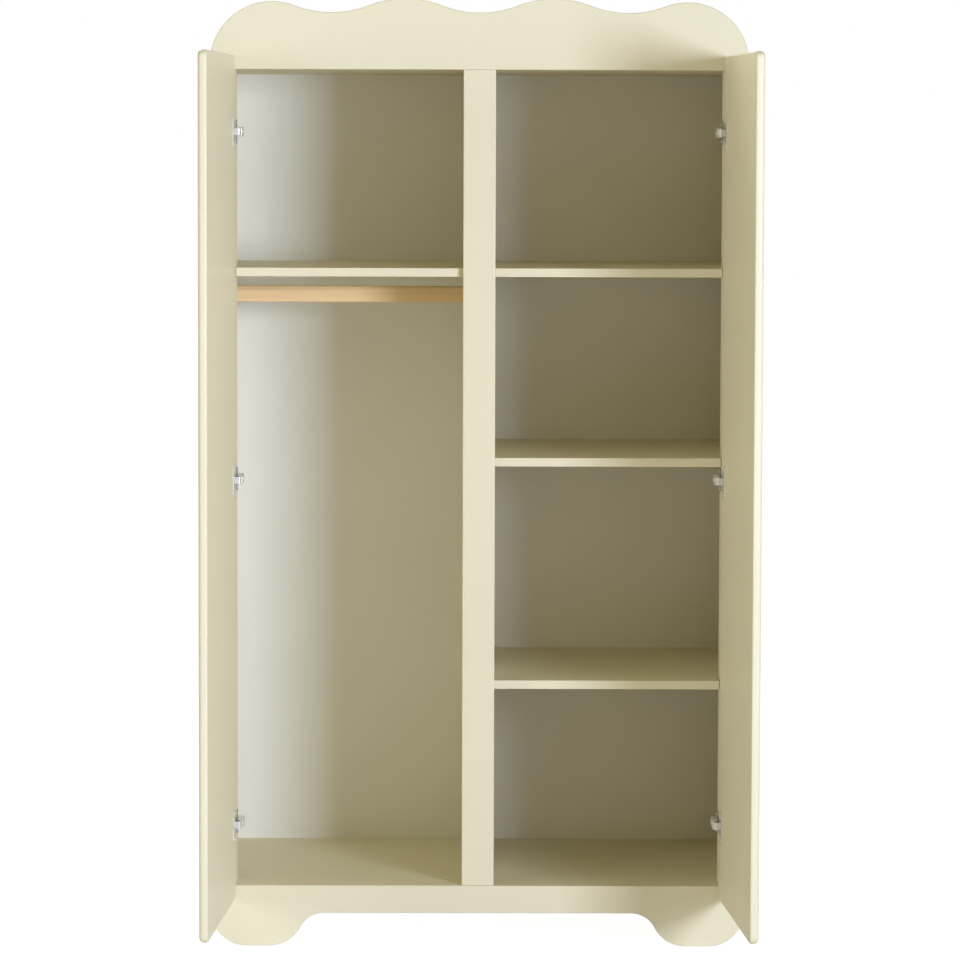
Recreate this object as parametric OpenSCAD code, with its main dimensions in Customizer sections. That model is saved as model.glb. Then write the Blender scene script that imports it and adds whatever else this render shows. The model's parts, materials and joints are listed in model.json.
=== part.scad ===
// Children's wardrobe with a scalloped crown, bulb feet and two doors on concealed hinges.
// Millimetres, +Z up, +X to the viewer's right, +Y towards the back.
// The origin is on the floor, midway across, and midway between the back of
// the case and the reach of a door that stands open square to the front.

/* [Case] */
// Width over the side panels
case_w = 995; // [920:5:1080]
// Depth from the front of the face frame to the back
case_d = 568; // [480:1:640]
// Thickness of every lacquered board
board_t = 16; // [16:0.5:19]
// Thickness of the back panels
back_t = 4; // [3.5:0.5:6]
// Height of the compartment floor above the ground
floor_z = 114; // [108:1:130]
// Height of the openings in the face frame
opening_h = 1518; // [1450:1:1600]
// Width of each rebate that takes a back panel
rebate_w = 8; // [7:0.5:10]
// Gap left round a piece that is dropped in between others
slip = 0.5; // [0.2:0.1:1]

/* [Face frame] */
// Width of each outer stile
side_stile_w = 46; // [44:1:60]
// Width of the centre stile
centre_stile_w = 60; // [50:1:80]
// Radius along the front edges of the stiles
stile_edge_r = 2; // [1:0.5:3]
// Radius of the two round shoulders of the crown
shoulder_r = 115; // [105:1:120]
// Height of the shoulders above the lower edge of the crown
shoulder_h = 124.5; // [122:0.5:132]
// Height of the dips between the scallops
dip_h = 104.5; // [98:0.5:108]
// Radius of the dips
dip_r = 190; // [160:1:205]
// Height of the two middle scallops
crest_h = 130; // [125:0.5:136]

/* [Feet] */
// Clear height under the apron and the side panels
under_h = 62; // [54:1:64]
// Radius of the bulb of a foot
foot_r = 66; // [65:1:76]
// Flat length on which a foot stands
foot_flat = 42; // [30:1:60]
// Radius where a foot sweeps into the apron
foot_sweep_r = 50; // [40:1:54]
// Reach of the glue blocks behind the apron
block_l = 40; // [30:1:50]

/* [Shelves] */
// Pitch of the rows in which shelf pins are set
row_pitch = 32; // [31:0.5:33]
// Row that carries the lower right shelf
lower_row_count = 12; // [9:1:13]
// Row that carries the middle right shelf
middle_row_count = 25; // [25:1:27]
// Row that carries the upper shelf on each side
upper_row_count = 36; // [35:1:38]
// Distance of the shelf front behind the face frame
shelf_setback = 1; // [0.5:0.5:6]
// Diameter of a shelf pin
shelf_pin_d = 5; // [4:0.5:6]
// Depth of a shelf pin in its panel
shelf_pin_in = 7; // [5:0.5:7.5]
// Reach of a shelf pin under its shelf
shelf_pin_out = 8; // [6:0.5:10]

/* [Hanging rail] */
// Height of the wooden rail
rail_h = 31; // [26:0.5:36]
// Thickness of the wooden rail
rail_t = 18; // [15:0.5:22]
// Radius along the edges of the rail
rail_r = 3; // [2:0.5:4]
// Distance from the shelf above to the top of the rail
rail_drop = 25.5; // [22:0.5:60]
// Depth of a rail socket
socket_d = 14; // [10:1:16]
// Wall of a rail socket
socket_wall = 3; // [2.5:0.5:4]

/* [Doors] */
// Gap between the closed doors
door_gap = 3; // [2:0.5:5]
// Lap of a door over its outer stile
door_lap = 16; // [16:0.5:17]
// Lap of the doors over the crown and the apron
door_lap_end = 25; // [15:1:30]
// Space between a closed door and the face frame
door_stand = 2.5; // [2.4:0.1:4]
// Radius of the corners of a door
door_corner_r = 12; // [10:1:20]
// Radius along the outer edges of a door
door_edge_r = 8; // [4:0.5:9]
// Radius along the inner edges of a door
door_inner_r = 3; // [2.5:0.5:4]
// Angle at which the left door stands open
left_open = 93.1; // [0:0.1:100]
// Angle at which the right door stands open
right_open = 93.4; // [0:0.1:100]

/* [Hinges] */
// Distance of the outer hinges from the ends of a door
hinge_inset = 140; // [110:1:200]
// Depth of the wooden batten that carries the hinge plates
batten_d = 60; // [56:1:80]
// Diameter of the hinge cup
cup_d = 35; // [35:0.5:36]
// Depth of the hinge cup
cup_h = 12; // [11.8:0.1:12.4]
// Wall of the hinge cup
cup_wall = 0.9; // [0.8:0.1:1]
// Distance from the edge of the door to the cup
cup_edge = 3; // [3:0.1:3.5]
// Length of the cup flange
flange_l = 64; // [60:1:70]
// Width of the cup flange
flange_w = 21; // [18:0.5:24]
// Thickness of the cup flange
flange_t = 1.2; // [1:0.1:1.3]
// Distance between the two screws of a cup
cup_screw_pitch = 48; // [46:0.5:50]
// Distance of the cup screws behind the centre of the cup
cup_screw_back = 9.5; // [8:0.5:11]
// Distance of the hinge pin from the edge and from the inner face of the door
pivot_in = 8; // [7.9:0.1:8.1]
// Diameter of the hinge pin
pivot_d = 3; // [2.6:0.1:3.2]
// Radial clearance of the hinge pin
pivot_fit = 0.06; // [0.04:0.01:0.1]
// Width of the hinge arm
arm_w = 17; // [16:0.5:19]
// Height of the hinge arm above its batten
arm_h = 13; // [12.5:0.5:14]
// Reach of the hinge arm behind the front of the frame
arm_l = 62; // [60:1:72]
// Wall of the hinge arm
arm_wall = 1.6; // [1.2:0.1:2]
// Thickness of the bent neck of the arm
neck_t = 3; // [2.6:0.1:3.1]
// Width of the bent neck of the arm
neck_w = 13.2; // [10:0.2:13.2]
// Setback of the plate screws from the front of the frame
plate_setback = 37; // [34:1:40]
// Distance between the two screws of a plate
plate_screw_pitch = 32; // [30:1:36]
// Thickness of the mounting plate
plate_t = 2.5; // [2:0.1:2.8]

/* [Fasteners] */
// Diameter of a wooden dowel
dowel_d = 8; // [6:0.5:8.5]
// Length of a wooden dowel
dowel_l = 30; // [26:1:32]
// Diameter of a cam lock
cam_d = 15; // [12:0.5:16]
// Height of a cam lock
cam_h = 12; // [11.5:0.1:12.5]
// Distance from a cam lock to the end of its panel
cam_in = 34; // [30:1:40]
// Diameter of the bolt of a cam lock
cam_bolt_d = 6; // [5:0.5:6.5]
// Diameter of the screws through the top and bottom panels
panel_screw_d = 4.5; // [4:0.1:5]
// Length of the screws through the top and bottom panels
panel_screw_l = 50; // [44:1:60]
// Diameter of the small screws
small_screw_d = 3.5; // [3:0.1:3.8]
// Depth of a small screw in the wood
small_screw_l = 12; // [10:0.5:13]
// Radial clearance of every dowel, screw and shelf pin in its hole
hole_fit = 0.1; // [0.05:0.05:0.15]

/* [Hidden] */

$fn = 72;
left = 0;
right = 1;
lower = 0;
middle = 1;
upper = 2;
// How far a cut runs past the face where it leaves
past = 1;

// Doors
opening_x = case_w / 2 - side_stile_w;
door_edge_x = opening_x + door_lap;
door_w = door_edge_x - door_gap / 2;
door_z = floor_z - door_lap_end;
door_h = opening_h + 2 * door_lap_end;
door_open = [left_open, right_open];

// Depths
front_y = -(case_d - door_w - door_stand) / 2;
join_y = front_y + board_t;
rear_y = front_y + case_d;
back_y = rear_y - back_t;
mid_y = (join_y + back_y) / 2;
batten_y = join_y + batten_d;
door_y = front_y - door_stand;

// Widths
outer_x = case_w / 2;
inner_x = outer_x - board_t;
divider_x = board_t / 2;

// Heights
top_z = floor_z + opening_h;
bottom_z = floor_z - board_t;
roof_z = top_z + board_t;
lower_shelf_z = floor_z + lower_row_count * row_pitch;
middle_shelf_z = floor_z + middle_row_count * row_pitch;
upper_shelf_z = floor_z + upper_row_count * row_pitch;
rail_z = upper_shelf_z - board_t - rail_drop - rail_h / 2;
rear_rail_z = (under_h + bottom_z) / 2;

// Arcs run into each other without a corner, and cut into each other by a hair there
arc_overlap = 0.01;
shoulder = [outer_x - shoulder_r, shoulder_h - shoulder_r];
shoulder_rise = shoulder_h - dip_h;
dip_x = shoulder.x - sqrt(2 * (shoulder_r + dip_r) * shoulder_rise - pow(shoulder_rise, 2));
crest_rise = crest_h - dip_h;
crest_r = (pow(dip_x / 2, 2) + pow(crest_rise, 2)) / (2 * crest_rise) - dip_r;
crest = [dip_x / 2, crest_h - crest_r];

foot_far = foot_r + foot_flat;
sweep_z = under_h - foot_sweep_r;
sweep_x = foot_far + sqrt(pow(foot_r + foot_sweep_r, 2) - pow(foot_r - sweep_z, 2));

// Hinges, as they lie with the left door closed
cup_x = -door_edge_x + cup_edge + cup_d / 2;
cup_floor_y = door_y - cup_h;
cup_rim = 1;
cup_bore_fit = 0.1;
cup_bore_below = 0.5;
pivot_x = -door_edge_x + pivot_in;
pivot_y = door_y - pivot_in;
pin_in_wall = 0.3;
pin_reach = sqrt(pow(cup_d / 2, 2) - pow(cup_x - pivot_x + pivot_d / 2, 2)) - pin_in_wall;
cheek = 3;
cheek_fit = 0.4;
flange_start = 2;
eye_r = 2.8;
mount_x = -opening_x;
arm_x = mount_x + arm_h;
arm_foot_x = mount_x + plate_t + slip;
arm_y = front_y + arm_l;
nose_in = 2.5;
neck_start = 12;
nose_y = front_y + nose_in;
arm_corner_r = 2;
neck_end_y = nose_y + neck_start;
rib_play = 3;
rib_w = arm_w - 2 * arm_wall - rib_play;
rib_start_y = neck_end_y + neck_t / 2 + 2;
rib_end_y = arm_y - rib_play;
plate_y = front_y + plate_setback;
plate_ear_d = 12;
arm_screw_edge = 6;
arm_screw_y = [rib_start_y + arm_screw_edge, rib_end_y - arm_screw_edge];
arm_screw_in = 5;
shelf_clear = 3;
plate_h = plate_screw_pitch + plate_ear_d;
hinge_z = [
    door_z + hinge_inset,
    middle_shelf_z - board_t - shelf_clear - plate_h / 2,
    door_z + door_h - hinge_inset
];
// The neck of an arm lies under the top of the channel, bends down into the cup and back to the pin
neck_x = arm_x - arm_wall - neck_t / 2;
neck_path = [
    [neck_x, neck_end_y],
    [neck_x, pivot_y + 2],
    [neck_x - 2, pivot_y - 1],
    [pivot_x + 5, pivot_y - 1.2],
    [pivot_x, pivot_y]
];

// Places of the fasteners
dowel_front = 11;
stile_dowel_in = 10;
centre_dowel_x = 15;
frame_dowel_x = [
    -centre_dowel_x, centre_dowel_x,
    for (side = [-1, 1], step = [-stile_dowel_in, stile_dowel_in])
        side * (outer_x - side_stile_w / 2) + step
];
side_mid_x = outer_x - board_t / 2;
panel_mid_z = [floor_z - board_t / 2, top_z + board_t / 2];
front_dowel_z = [for (i = [0 : 3]) floor_z + opening_h * (1 + 2 * i) / 8];
panel_dowel_x = [for (i = [-3 : 2 : 3]) i * inner_x / 4];
cam_from_edge = 60;
cam_y = [join_y + cam_from_edge, back_y - cam_from_edge];
cam_bolt_in = 10;
cam_slot = [8, 1.5, 2];
divider_screw_from_edge = 120;
divider_screw_y = [join_y + divider_screw_from_edge, back_y - divider_screw_from_edge];
shelf_pin_from_batten = 30;
shelf_pin_from_back = 60;
shelf_pin_y = [batten_y + shelf_pin_from_batten, back_y - shelf_pin_from_back];
shelf_pin_seat = 0.1;
back_screw_z = [for (i = [0 : 4]) floor_z + opening_h * (1 + 2 * i) / 10];
back_screw_x = [-inner_x - rebate_w / 2, -divider_x / 2, divider_x / 2, inner_x + rebate_w / 2];
rail_screw_rim = 6;
rail_screw_z = rail_h / 2 + socket_wall + rail_screw_rim;

// Draws a piece of the left side, or its mirror image on the right
module on_side(side) {
    if (side == right) mirror([1, 0, 0]) children();
    else children();
}

// Draws a piece of the left side and its mirror image
module on_both_sides() {
    for (side = [left, right]) on_side(side) children();
}

// Turns what belongs to a door from closed to the angle at which it rests
module swing(side) {
    on_side(side) translate([pivot_x, pivot_y, 0]) rotate(-door_open[side])
        translate([-pivot_x, -pivot_y, 0]) children();
}

// A box between two opposite corners
module block(low, high) {
    translate(low) cube(high - low);
}

// Round bars along each axis, grown by a fit to make their bores
module rod_x(at, d, l, fit = 0) {
    translate(at - [fit, 0, 0]) rotate([0, 90, 0]) cylinder(d = d + 2 * fit, h = l + 2 * fit);
}
module rod_y(at, d, l, fit = 0) {
    translate(at - [0, fit, 0]) rotate([-90, 0, 0]) cylinder(d = d + 2 * fit, h = l + 2 * fit);
}
module rod_z(at, d, l, fit = 0) {
    translate(at - [0, 0, fit]) cylinder(d = d + 2 * fit, h = l + 2 * fit);
}

// A screw with its seat at the origin and its shank below, grown by a fit to make its hole
module screw(d, l, fit) {
    translate([0, 0, -l - fit]) cylinder(d = d + 2 * fit, h = l + fit);
    cylinder(d = 2 * (d + fit), h = screw_head_h(d) + fit);
}
function screw_head_h(d) = 0.3 * d;

// Extrudes an outline of depth and height sideways, or one of width and height backwards
module sideways(x, t) {
    translate([x, 0, 0]) rotate([90, 0, 90]) linear_extrude(t) children();
}
module backwards(y, t) {
    translate([0, y + t, 0]) rotate([90, 0, 0]) linear_extrude(t) children();
}

// A rectangle with round corners
module round_rect(low, high, r) {
    translate([low.x + r, low.y]) square([high.x - low.x - 2 * r, high.y - low.y]);
    translate([low.x, low.y + r]) square([high.x - low.x, high.y - low.y - 2 * r]);
    for (x = [low.x + r, high.x - r], y = [low.y + r, high.y - r]) translate([x, y]) circle(r = r);
}

// A straight strip with round ends
module strip(a, b, w) {
    translate(a) circle(d = w);
    translate(b) circle(d = w);
    translate(a) rotate(atan2(b.y - a.y, b.x - a.x)) translate([0, -w / 2]) square([norm(b - a), w]);
}

// Lower part of a foot, its outer edge at the left and the ground at the bottom
module foot_outline() {
    intersection() {
        square([foot_r + foot_far, foot_r]);
        for (x = [foot_r, foot_far]) translate([x, foot_r]) circle(r = foot_r);
    }
    translate([foot_r, 0]) square([foot_flat, foot_r]);
    hollow([foot_far, foot_r], [sweep_x, sweep_z], [sweep_x, foot_r], foot_sweep_r);
}

// Outline of the crown, its lower edge at the bottom
module crown_outline() {
    dips = [for (x = [-dip_x, 0, dip_x]) [x, dip_h + dip_r]];
    difference() {
        translate([-outer_x, 0]) square([case_w, crest_h + past]);
        for (dip = dips) translate(dip) circle(r = dip_r + arc_overlap);
        for (side = [-1, 1]) {
            above(dips[1], [side * crest.x, crest.y], dips[1 + side], crest_r);
            above(
                dips[1 + side], [side * shoulder.x, shoulder.y],
                [side * 2 * outer_x, shoulder.y], shoulder_r + arc_overlap
            );
        }
    }
}

// What lies above a round arc, between its centre and two points beyond it
module above(before, centre, after, r) {
    difference() {
        polygon([before, centre, after]);
        translate(centre) circle(r = r);
    }
}

// What lies below a hollow arc, between its centre and the centres of the arcs beside it
module hollow(before, centre, after, r) {
    difference() {
        polygon([before, centre, after]);
        translate(centre) circle(r = r + arc_overlap);
    }
}

// Dowels between the stiles and the boards above and below them
module frame_dowel_set(fit) {
    for (x = frame_dowel_x, z = [floor_z, top_z])
        rod_z([x, front_y + board_t / 2, z - dowel_l / 2], dowel_d, dowel_l, fit);
}

// Dowels from the face frame into the front edges of the carcase
module front_dowel_set(fit) {
    for (x = [-side_mid_x, 0, side_mid_x], z = front_dowel_z)
        rod_y([x, join_y - dowel_front, z], dowel_d, dowel_l, fit);
    for (x = panel_dowel_x, z = panel_mid_z)
        rod_y([x, join_y - dowel_front, z], dowel_d, dowel_l, fit);
}

// Dowels from the side panels into what lies between them
module end_dowel_set(fit) {
    on_both_sides() {
        for (z = panel_mid_z) rod_x([-inner_x - dowel_front, mid_y, z], dowel_d, dowel_l, fit);
        rod_x([-inner_x - dowel_front, back_y - board_t / 2, rear_rail_z], dowel_d, dowel_l, fit);
    }
}

// Cam locks in the hidden faces of the top and bottom panels, and their bolts
module cam_set(fit) {
    on_both_sides() for (y = cam_y, z = [bottom_z, roof_z - cam_h])
        rod_z([-inner_x + cam_in, y, z], cam_d, cam_h, fit);
}
module cam_bolt_set(fit) {
    on_both_sides() for (y = cam_y, z = panel_mid_z)
        rod_x([-inner_x - cam_bolt_in, y, z], cam_bolt_d, cam_bolt_in + cam_in, fit);
}

// Screws through the top and bottom panels into the divider
module panel_screw_set(fit) {
    for (y = divider_screw_y) {
        translate([0, y, roof_z - screw_head_h(panel_screw_d)]) screw(panel_screw_d, panel_screw_l, fit);
        translate([0, y, bottom_z + screw_head_h(panel_screw_d)]) rotate([180, 0, 0])
            screw(panel_screw_d, panel_screw_l, fit);
    }
}

// Screws that hold the back panels, flush with them
module back_screw_set(fit) {
    places = [
        for (x = back_screw_x, z = back_screw_z) [x, z],
        for (x = panel_dowel_x, z = panel_mid_z) [x, z]
    ];
    for (p = places) translate([p.x, rear_y - screw_head_h(small_screw_d), p.y]) rotate([-90, 0, 0])
        screw(small_screw_d, small_screw_l, fit);
}

// Shelf pins under one shelf, between a side panel and the divider
module shelf_pin_row(z, fit) {
    pin_z = z - board_t - shelf_pin_seat - shelf_pin_d / 2;
    for (y = shelf_pin_y) {
        rod_x([-inner_x - shelf_pin_in, y, pin_z], shelf_pin_d, shelf_pin_in + shelf_pin_out, fit);
        rod_x([-divider_x - shelf_pin_out, y, pin_z], shelf_pin_d, shelf_pin_in + shelf_pin_out, fit);
    }
}
module shelf_pin_set(fit) {
    shelf_pin_row(upper_shelf_z, fit);
    for (z = [lower_shelf_z, middle_shelf_z, upper_shelf_z])
        on_side(right) shelf_pin_row(z, fit);
}

// Screws of the rail sockets, the hinge cups of a door, the hinge plates and the hinge arms
module rail_screw_set(fit) {
    for (z = [rail_z - rail_screw_z, rail_z + rail_screw_z]) {
        translate([-inner_x + socket_wall, mid_y, z]) rotate([0, 90, 0])
            screw(small_screw_d, small_screw_l, fit);
        translate([-divider_x - socket_wall, mid_y, z]) rotate([0, -90, 0])
            screw(small_screw_d, small_screw_l, fit);
    }
}
module cup_screw_set(fit) {
    for (z = hinge_z, side = [-1, 1])
        translate([cup_x + cup_screw_back, door_y + flange_t, z + side * cup_screw_pitch / 2])
            rotate([-90, 0, 0]) screw(small_screw_d, small_screw_l, fit);
}
module plate_screw_set(fit) {
    for (z = hinge_z, side = [-1, 1])
        translate([mount_x + plate_t, plate_y, z + side * plate_screw_pitch / 2])
            rotate([0, 90, 0]) screw(small_screw_d, plate_t + small_screw_l, fit);
}
module arm_screw_set(fit) {
    for (z = hinge_z, y = arm_screw_y) translate([arm_x, y, z]) rotate([0, 90, 0])
        screw(small_screw_d, arm_wall + arm_screw_in, fit);
}

// Face frame
module crown_board() {
    color("#E2DEC8") difference() {
        translate([0, 0, top_z]) backwards(front_y, board_t) crown_outline();
        frame_dowel_set(hole_fit);
        front_dowel_set(hole_fit);
    }
}
module apron_board() {
    color("#E0DAC6") difference() {
        backwards(front_y, board_t) {
            translate([-outer_x, 0]) foot_outline();
            mirror([1, 0]) translate([-outer_x, 0]) foot_outline();
            translate([-outer_x, foot_r]) square([case_w, floor_z - foot_r]);
            translate([-outer_x + foot_r, under_h]) square([case_w - 2 * foot_r, foot_r - under_h]);
        }
        frame_dowel_set(hole_fit);
        front_dowel_set(hole_fit);
    }
}
module stile(x, w) {
    color("#E3DFC9") difference() {
        translate([0, 0, floor_z]) linear_extrude(opening_h) {
            translate([x + stile_edge_r, front_y]) square([w - 2 * stile_edge_r, board_t]);
            translate([x, front_y + stile_edge_r]) square([w, board_t - stile_edge_r]);
            for (edge = [x + stile_edge_r, x + w - stile_edge_r])
                translate([edge, front_y + stile_edge_r]) circle(r = stile_edge_r);
        }
        frame_dowel_set(hole_fit);
        front_dowel_set(hole_fit);
    }
}

// Carcase
module side_panel(side) {
    color("#D9D4BC") difference() {
        on_side(side) side_blank();
        front_dowel_set(hole_fit);
        end_dowel_set(hole_fit);
        cam_bolt_set(hole_fit);
        shelf_pin_set(hole_fit);
        back_screw_set(hole_fit);
        if (side == left) rail_screw_set(hole_fit);
    }
}
module side_blank() {
    difference() {
        sideways(-outer_x, board_t) {
            translate([rear_y, 0]) mirror([1, 0]) foot_outline();
            translate([join_y, foot_r]) square([rear_y - join_y, roof_z - foot_r]);
            translate([join_y, under_h]) square([rear_y - foot_r - join_y, foot_r - under_h]);
        }
        block([-inner_x - rebate_w, back_y, bottom_z], [-inner_x + past, rear_y + past, roof_z + past]);
    }
}
module cross_panel(z) {
    color("#D6D1B8") difference() {
        block([-inner_x, join_y, z], [inner_x, back_y, z + board_t]);
        front_dowel_set(hole_fit);
        end_dowel_set(hole_fit);
        cam_set(hole_fit);
        cam_bolt_set(hole_fit);
        panel_screw_set(hole_fit);
        back_screw_set(hole_fit);
    }
}
module divider_panel() {
    color("#D6D1B8") difference() {
        block([-divider_x, join_y, floor_z], [divider_x, back_y, top_z]);
        front_dowel_set(hole_fit);
        panel_screw_set(hole_fit);
        shelf_pin_set(hole_fit);
        back_screw_set(hole_fit);
        rail_screw_set(hole_fit);
    }
}
module back_panel(side) {
    color("#DEDBCB") difference() {
        on_side(side) block([-inner_x - rebate_w + slip, back_y, bottom_z], [-slip / 2, rear_y, roof_z]);
        back_screw_set(hole_fit);
    }
}
module rear_rail() {
    color("#D6D1B8") difference() {
        block([-inner_x, back_y - board_t, under_h], [inner_x, back_y, bottom_z]);
        end_dowel_set(hole_fit);
    }
}
module corner_blocks() {
    color("#D8C7A0") on_both_sides() translate([-inner_x, join_y, under_h])
        linear_extrude(bottom_z - under_h) polygon([[0, 0], [block_l, 0], [0, block_l]]);
}
module hinge_batten(side) {
    color("#DDD8C1") difference() {
        on_side(side) block([-inner_x, join_y, floor_z], [mount_x, batten_y, top_z]);
        on_side(side) plate_screw_set(hole_fit);
    }
}

// Shelves, cut back at the outer front corner to pass the hinge batten
module shelf(side, z) {
    color("#DCD7BF") on_side(side) difference() {
        block([-inner_x + slip, join_y + shelf_setback, z - board_t], [-divider_x - slip, back_y - slip, z]);
        block(
            [-inner_x - past, join_y - past, z - board_t - past],
            [mount_x + 2 * slip, batten_y + 2 * slip, z + past]
        );
    }
}

// Hanging rail
module hanging_rail() {
    end = socket_wall + slip;
    half = [rail_t, rail_h] / 2;
    color("#E0C79A") sideways(-inner_x + end, inner_x - divider_x - 2 * end)
        round_rect([mid_y, rail_z] - half, [mid_y, rail_z] + half, rail_r);
}
module rail_socket(side) {
    half = rail_t / 2 + slip;
    color("#D9D4C4") difference() {
        translate([side == left ? -inner_x : -divider_x, mid_y, rail_z]) on_side(side) {
            sideways(0, socket_wall) round_rect(
                [-half - socket_wall, -rail_screw_z - rail_screw_rim],
                [half + socket_wall, rail_screw_z + rail_screw_rim], socket_wall
            );
            sideways(0, socket_d) difference() {
                translate([-half - socket_wall, -rail_h / 2 - socket_wall])
                    square([2 * (half + socket_wall), rail_h]);
                translate([-half, -rail_h / 2]) square([2 * half, rail_h + past]);
            }
        }
        rail_screw_set(hole_fit);
    }
}

// Doors
module door(side) {
    color("#DBD6BF") swing(side) difference() {
        translate([-door_edge_x, door_y, door_z]) rotate([90, 0, 0]) door_blank();
        for (z = hinge_z)
            rod_y([cup_x, cup_floor_y - cup_bore_below, z], cup_d, cup_h + cup_bore_below, cup_bore_fit);
        cup_screw_set(hole_fit);
    }
}

// A door lying on its inner face: a plain middle, and at each corner a quarter turn of the edge
// section and the straight run that follows it
module door_blank() {
    run = [door_w - 2 * door_corner_r, door_h - 2 * door_corner_r];
    near = door_corner_r;
    far = run + [near, near];
    translate([near, near, 0]) cube([run.x, run.y, board_t]);
    for (turn = [0 : 3]) {
        l = turn % 2 == 0 ? run.y : run.x;
        translate([turn < 2 ? far.x : near, turn % 3 == 0 ? near : far.y]) rotate(90 * (turn - 1)) {
            rotate_extrude(angle = 90) door_edge_section();
            rotate(90) translate([0, l, 0]) rotate([90, 0, 0]) linear_extrude(l) door_edge_section();
        }
    }
}

// Section through the edge of a door, the inner face at the bottom and the edge at the right
module door_edge_section() {
    intersection() {
        square([door_corner_r, board_t]);
        union() {
            square([door_corner_r - door_inner_r, board_t - door_edge_r]);
            square([door_corner_r - door_edge_r, board_t]);
            translate([0, door_inner_r])
                square([door_corner_r, board_t - door_inner_r - door_edge_r]);
            translate([door_corner_r - door_inner_r, door_inner_r]) circle(r = door_inner_r);
            translate([door_corner_r - door_edge_r, board_t - door_edge_r]) circle(r = door_edge_r);
        }
    }
}

// Hinge cup: a pressed cup and flange with two cheeks that hold the pin
module hinge_cup(side, level) {
    color("#C9C8C2") swing(side) difference() {
        translate([0, 0, hinge_z[level]]) difference() {
            union() {
                rod_y([cup_x, cup_floor_y, 0], cup_d, cup_h);
                backwards(door_y, flange_t) flange_outline();
            }
            difference() {
                rod_y([cup_x, cup_floor_y + cup_wall, 0], cup_d - 2 * cup_wall, cup_h + flange_t);
                for (end = [-1, 1]) cheek_block(end);
            }
            rod_z([pivot_x, pivot_y, -pin_reach], pivot_d, 2 * pin_reach, pivot_fit);
        }
        cup_screw_set(hole_fit);
    }
}
module flange_outline() {
    intersection() {
        union() {
            translate([cup_x, 0]) circle(d = cup_d + 2 * cup_rim);
            strip(
                [cup_x + cup_screw_back, -(flange_l - flange_w) / 2],
                [cup_x + cup_screw_back, (flange_l - flange_w) / 2], flange_w
            );
        }
        translate([pivot_x - flange_start, -flange_l / 2]) square([2 * cup_d, flange_l]);
    }
}
module cheek_block(end) {
    inside = neck_w / 2 + cheek_fit;
    block(
        [cup_x - cup_d, cup_floor_y, min(end * inside, end * cup_d)],
        [pivot_x + cheek, pivot_y + cheek, max(end * inside, end * cup_d)]
    );
}

// Hinge arm: an open channel with a bent neck that ends in an eye for the pin
module hinge_arm(side, level) {
    color("#CFCEC8") on_side(side) difference() {
        translate([0, 0, hinge_z[level]]) difference() {
            union() {
                difference() {
                    sideways(arm_foot_x, arm_x - arm_foot_x)
                        round_rect([nose_y, -arm_w / 2], [arm_y, arm_w / 2], arm_corner_r);
                    block(
                        [arm_foot_x - past, nose_y - past, arm_wall - arm_w / 2],
                        [arm_x - arm_wall, arm_y + past, arm_w / 2 - arm_wall]
                    );
                }
                translate([0, 0, -neck_w / 2]) linear_extrude(neck_w) {
                    for (i = [1 : len(neck_path) - 1]) strip(neck_path[i - 1], neck_path[i], neck_t);
                    translate([pivot_x, pivot_y]) circle(r = eye_r);
                }
            }
            rod_z([pivot_x, pivot_y, -neck_w], pivot_d, 2 * neck_w, pivot_fit);
        }
        arm_screw_set(hole_fit);
    }
}
// Mounting plate: two screwed ears across a rib that fills the arm
module hinge_plate(side, level) {
    color("#BDBCB6") on_side(side) difference() {
        translate([0, 0, hinge_z[level]]) {
            sideways(mount_x, plate_t)
                strip([plate_y, -plate_screw_pitch / 2], [plate_y, plate_screw_pitch / 2], plate_ear_d);
            block([mount_x, rib_start_y, -rib_w / 2], [arm_x - arm_wall, rib_end_y, rib_w / 2]);
        }
        plate_screw_set(hole_fit);
        arm_screw_set(hole_fit);
    }
}

// Pins and fasteners
module hinge_pins(side) {
    color("#A9A8A2") swing(side) for (z = hinge_z)
        rod_z([pivot_x, pivot_y, z - pin_reach], pivot_d, 2 * pin_reach);
}
module cup_screws(side) {
    color("#B5B4AE") swing(side) cup_screw_set(0);
}
module plate_screws() {
    color("#B5B4AE") on_both_sides() plate_screw_set(0);
}
module arm_screws() {
    color("#B5B4AE") on_both_sides() arm_screw_set(0);
}
module rail_screws() {
    color("#B5B4AE") rail_screw_set(0);
}
module shelf_pins() {
    color("#B5B4AE") shelf_pin_set(0);
}
module frame_dowels() {
    color("#D8B98A") frame_dowel_set(0);
}
module case_dowels() {
    color("#D8B98A") front_dowel_set(0);
    color("#D8B98A") end_dowel_set(0);
}
module cam_locks() {
    color("#A9A8A2") difference() {
        cam_set(0);
        cam_bolt_set(hole_fit);
        on_both_sides() for (y = cam_y, z = [bottom_z, roof_z])
            translate([-inner_x + cam_in, y, z])
                cube([cam_slot.x, cam_slot.y, 2 * cam_slot.z], center = true);
    }
}
module cam_bolts() {
    color("#A9A8A2") cam_bolt_set(0);
}
module panel_screws() {
    color("#B5B4AE") panel_screw_set(0);
}
module back_screws() {
    color("#B5B4AE") back_screw_set(0);
}

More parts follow.
